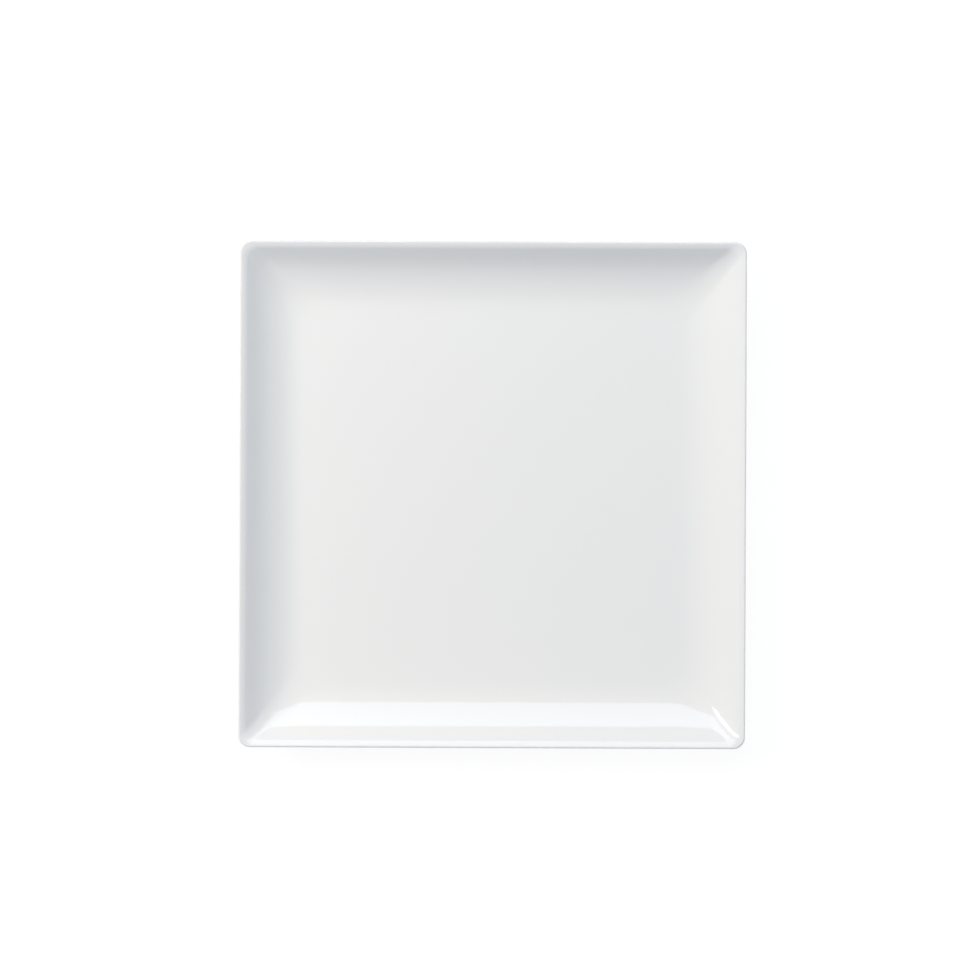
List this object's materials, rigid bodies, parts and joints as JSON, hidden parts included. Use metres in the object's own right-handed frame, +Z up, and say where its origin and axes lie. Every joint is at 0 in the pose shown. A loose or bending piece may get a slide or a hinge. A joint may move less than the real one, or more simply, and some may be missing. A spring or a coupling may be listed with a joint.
{
  "type": "square plate",
  "caption": "Square white porcelain plate with a flat well, upswept sides, a narrow rolled lip and an unglazed square foot ring.",
  "frame": {"origin": "on the table, under the middle of the plate", "axes": "+Z up out of the well, +X and +Y square to two neighbouring sides"},
  "size_m": [0.26, 0.26, 0.0227],
  "materials": {
    "biscuit": "matte",
    "glaze": "gloss"
  },
  "bodies": {
    "root": {"porcelain_body": "biscuit", "face_glaze": "glaze", "base_glaze": "glaze"}
  },
  "joints": []
}
